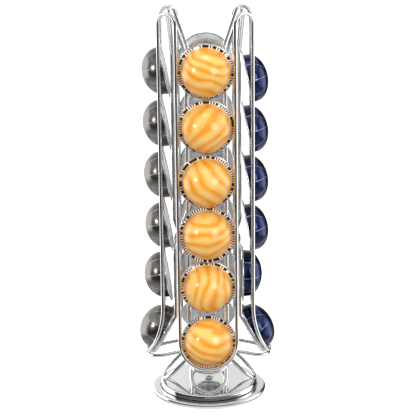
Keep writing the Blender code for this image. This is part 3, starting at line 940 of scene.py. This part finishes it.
def welds(material):
    """Each column's weld beads: crown, peak, waist, the loop's knee, its arm and its foot."""
    corner = Vector((1, -1, 0)).normalized()
    inward = Vector((1, 1, 0)).normalized()
    upright = Vector((0, 0, 1))
    level = Vector((1, 0, 0))
    apex = crown_apex()
    peak = Vector((peak_place(), peak_place(), CROWN_HEIGHT - PEAK_DROP))
    waist = Vector((-WAIST_RADIUS, -WAIST_RADIUS, WAIST_HEIGHT))
    _, outward, down = low_frame()
    arm = loop_seat() - down * WIRE_RADIUS * ARM_WELD_RISE + outward * WIRE_RADIUS * ARM_WELD_LEAD
    foot = loop_foot() - upright * WIRE_RADIUS * FOOT_WELD_DROP
    inner = LOOP_HALF_WIDTH + WIRE_PITCH * DIAGONAL_SHARE / 2
    knee = Vector((-inner, -inner, LOOP_BEND_HEIGHT - LOOP_BEND_DROP / 2))
    for index, column in enumerate(COLUMNS):
        mesh = bpy.data.meshes.new("welds_" + column)
        shape = bmesh.new()
        weld_bead(shape, apex, corner, inward, CROWN_WELD)
        weld_bead(shape, (apex + peak) / 2, corner, inward, PEAK_WELD)
        weld_bead(shape, waist, upright, corner, WAIST_WELD)
        weld_bead(shape, knee, upright, corner, KNEE_WELD)
        weld_bead(shape, arm, level, outward, ARM_WELD)
        weld_bead(shape, foot, level, Vector((0, 1, 0)), FOOT_WELD)
        bmesh.ops.recalc_face_normals(shape, faces=shape.faces)
        shape.to_mesh(mesh)
        shape.free()
        mesh.shade_smooth()
        piece = new_object("welds_" + column, mesh, [material])
        piece.matrix_world = column_frame(index)
        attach(piece, "carousel")


def turned_node(node, outline, stretches, sides, material, body):
    """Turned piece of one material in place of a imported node, on its body."""
    piece = turned("fine_" + node, outline, [0] * stretches, sides, [material])
    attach(piece, body)
    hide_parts(node)


def turntable():
    """Flat dish turned over, with a rolled edge and a short skirt."""
    low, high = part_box("turntable_plate")
    radius, top, skirt = high.x, high.z, low.z
    under = top - PLATE_SHEET
    roll = (radius - PLATE_ROLL, top - PLATE_ROLL)
    inner = radius - PLATE_SHEET
    edge = PLATE_SHEET / 2
    outline = [(HOLE_RADIUS, top)]
    outline += arc_points(roll, PLATE_ROLL, pi / 2, 0, ROLL_STEPS)
    outline += arc_points((radius - edge, skirt + edge), edge, 0, -pi, ROLL_STEPS)
    outline += [(inner, roll[1]), (roll[0], under), (HOLE_RADIUS, under)]
    turned_node(
        "turntable_plate", outline, len(outline), PLATE_SIDES, chrome("plate_chrome"),
        "carousel",
    )


def pan():
    """Pressed sheet with a well for the race and a rolled skirt."""
    low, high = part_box("base_pan")
    radius, lip, ground = high.x, high.z, low.z
    well = lip - PAN_LIP_RISE
    wall = PLATE_RADIUS + PAN_LIP_RISE / 2
    under = well - PAN_SHEET
    roll = (radius - PAN_ROLL, lip - PAN_ROLL)
    hem = radius - PAN_TUCK
    edge = PAN_SHEET / 2
    outline = [(HOLE_RADIUS, well), (PLATE_RADIUS, well), (wall, lip)]
    outline += arc_points(roll, PAN_ROLL, pi / 2, 0, ROLL_STEPS)
    outline += arc_points((hem - edge, ground + edge), edge, 0, -pi, ROLL_STEPS)
    outline += [
        (radius - PAN_SHEET, roll[1]),
        (roll[0], lip - PAN_SHEET),
        (wall + PAN_SHEET, lip - PAN_SHEET),
        (PLATE_RADIUS + PAN_SHEET, under),
        (HOLE_RADIUS, under),
    ]
    turned_node(
        "base_pan", outline, len(outline), PLATE_SIDES, chrome("pan_chrome"),
        "base",
    )


def rivet():
    """Domed head over the plate, shank, and the end clinched below the pan."""
    low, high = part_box("pivot_rivet")
    seat = high.z - RIVET_HEAD_HEIGHT
    clinch = low.z + RIVET_CLINCH
    outline = [(0, high.z)]
    for k in range(1, ROLL_STEPS + 1):
        turn = pi / 2 * k / ROLL_STEPS
        outline.append((RIVET_HEAD_RADIUS * sin(turn), seat + RIVET_HEAD_HEIGHT * cos(turn)))
    outline += [
        (RIVET_RADIUS, seat), (RIVET_RADIUS, clinch), (RIVET_HEAD_RADIUS, clinch),
        (RIVET_HEAD_RADIUS, low.z), (0, low.z),
    ]
    turned_node(
        "pivot_rivet", outline, len(outline) - 1, CAPSULE_SIDES, chrome("rivet_steel"),
        "base",
    )


def foot_pad():
    """Rubber disc with a recess for the rivet, and ring grooves that grip the table."""
    low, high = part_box("foot_pad")
    radius, top = high.x, high.z
    recess = RIVET_HEAD_RADIUS + PAD_RECESS_MARGIN
    recessed = top - RIVET_CLINCH - SEAT_GAP
    outline = [(0, recessed), (recess, recessed), (recess, top), (radius, top)]
    outline += [(radius, low.z + PAD_GROOVE), (radius - PAD_GROOVE, low.z)]
    step = radius / (PAD_GROOVES + 1)
    for k in range(PAD_GROOVES, 0, -1):
        middle = step * k
        outline += [
            (middle + PAD_GROOVE * 2, low.z), (middle + PAD_GROOVE, low.z + PAD_GROOVE),
            (middle - PAD_GROOVE, low.z + PAD_GROOVE), (middle - PAD_GROOVE * 2, low.z),
        ]
    outline.append((0, low.z))
    turned_node(
        "foot_pad", outline, len(outline) - 1, PLATE_SIDES, satin("pad_rubber"),
        "base",
    )


def inner_nodes():
    """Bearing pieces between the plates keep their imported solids."""
    finishes = {name: satin(name) for name in dict.fromkeys(INNER_FINISHES.values())}
    for name, item in frame["nodes"].items():
        for start, finish in INNER_FINISHES.items():
            if name.startswith(start):
                item.data.materials.clear()
                item.data.materials.append(finishes[finish])


def floor():
    """White table, which camera rays see a little brightened so that it meets the backdrop."""
    mesh = bpy.data.meshes.new("floor")
    shape = bmesh.new()
    bmesh.ops.create_grid(shape, x_segments=1, y_segments=1, size=FLOOR_SIZE / 2)
    shape.to_mesh(mesh)
    shape.free()
    item, tree, shader = new_material("white_floor", base_color=FLOOR_TONE, roughness=0.9)
    path = add_node(tree, "LightPath")
    glow = product(tree, path.outputs["Is Camera Ray"], FLOOR_GLOW)
    glowing = add_node(tree, "Emission", {"Strength": glow})
    both = add_node(tree, "AddShader", {0: shader.outputs[0], 1: glowing.outputs[0]})
    tree.links.new(both.outputs[0], tree.nodes["Material Output"].inputs["Surface"])
    plane = new_object("floor", mesh, [item])
    plane.visible_glossy = False
    plane.visible_diffuse = False


def backdrop():
    """World: white to the camera, plain grey to matt surfaces, and a studio with dark
    gaps between its white panels to polished ones."""
    world = bpy.data.worlds.new("studio")
    bpy.context.scene.world = world
    world.use_nodes = True
    tree = world.node_tree
    output = tree.nodes["World Output"]
    path = add_node(tree, "LightPath")
    way = add_node(tree, "SeparateXYZ", {"Vector": add_node(tree, "TexCoord").outputs["Generated"]})
    azimuth = math_node(tree, "ARCTAN2", way.outputs[0], way.outputs[1])
    share = math_node(tree, "ADD", math_node(tree, "DIVIDE", azimuth, 2 * pi), 0.5)
    panels = ramp(tree, share, STUDIO_PANELS)
    height = math_node(tree, "ADD", product(tree, way.outputs[2], 0.5), 0.5)
    near_side = product(tree, ramp(tree, share, NEAR_SIDE), ramp(tree, height, NEAR_HEIGHTS))
    outside = math_node(tree, "MAXIMUM", ramp(tree, height, STUDIO_HEIGHTS), near_side)
    lit = mix_color(tree, outside, panels, ramp(tree, height, STUDIO_ENDS))
    polished = add_node(tree, "Background", {"Color": lit, "Strength": 1.0})
    sky = ramp(tree, height, MATT_HEIGHTS)
    matt = add_node(tree, "Background", {"Color": sky, "Strength": WORLD_LIGHT})
    white = add_node(tree, "Background", {"Color": (1, 1, 1, 1), "Strength": 1.0})
    first = add_node(tree, "MixShader", {
        0: path.outputs["Is Glossy Ray"], 1: matt.outputs[0], 2: polished.outputs[0],
    })
    last = add_node(tree, "MixShader", {
        0: path.outputs["Is Camera Ray"], 1: first.outputs[0], 2: white.outputs[0],
    })
    tree.links.new(last.outputs[0], output.inputs["Surface"])


def softbox(name, azimuth, height, distance, size, watts, lit):
    """Area lamp that faces the tower and lights one collection of pieces."""
    lamp = bpy.data.lights.new(name, "AREA")
    lamp.shape = "ELLIPSE"
    lamp.size, lamp.size_y = size
    lamp.energy = watts
    item = bpy.data.objects.new(name, lamp)
    bpy.context.scene.collection.objects.link(item)
    turn = radians(azimuth)
    item.location = Vector((distance * sin(turn), -distance * cos(turn), height))
    item.rotation_euler = (LAMP_TARGET - item.location).to_track_quat("-Z", "Y").to_euler()
    item.light_linking.receiver_collection = lit


def lamps():
    lit = bpy.data.collections.new("lamp_lit")
    for item in bpy.context.scene.objects:
        if item.name.startswith(LIT_PIECES):
            lit.objects.link(item)
    for name, values in LAMPS.items():
        softbox(name, *values, lit)


def camera():
    data = bpy.data.cameras.new("camera")
    data.sensor_width = SENSOR_WIDTH
    data.lens = FOCAL_PIXELS * SENSOR_WIDTH / IMAGE_SIZE
    data.shift_x = (IMAGE_SIZE / 2 - PRINCIPAL_X) / IMAGE_SIZE
    item = bpy.data.objects.new("camera", data)
    bpy.context.scene.collection.objects.link(item)
    forward = Vector((0, cos(CAMERA_PITCH), -sin(CAMERA_PITCH)))
    level = Vector((1, 0, 0))
    upright = level.cross(forward)
    right = level * cos(CAMERA_ROLL) + upright * sin(CAMERA_ROLL)
    up = upright * cos(CAMERA_ROLL) - level * sin(CAMERA_ROLL)
    pose = Matrix((right, up, -forward)).transposed().to_4x4()
    pose.translation = CAMERA_PLACE
    item.matrix_world = pose
    bpy.context.scene.camera = item


def main():
    camera()
    backdrop()
    floor()
    wire_chrome = chrome("wire_chrome")
    tower_wires(wire_chrome)
    welds(wire_chrome)
    capsules()
    turntable()
    pan()
    rivet()
    foot_pad()
    inner_nodes()
    lamps()
    bpy.context.scene.view_settings.view_transform = "Standard"


main()
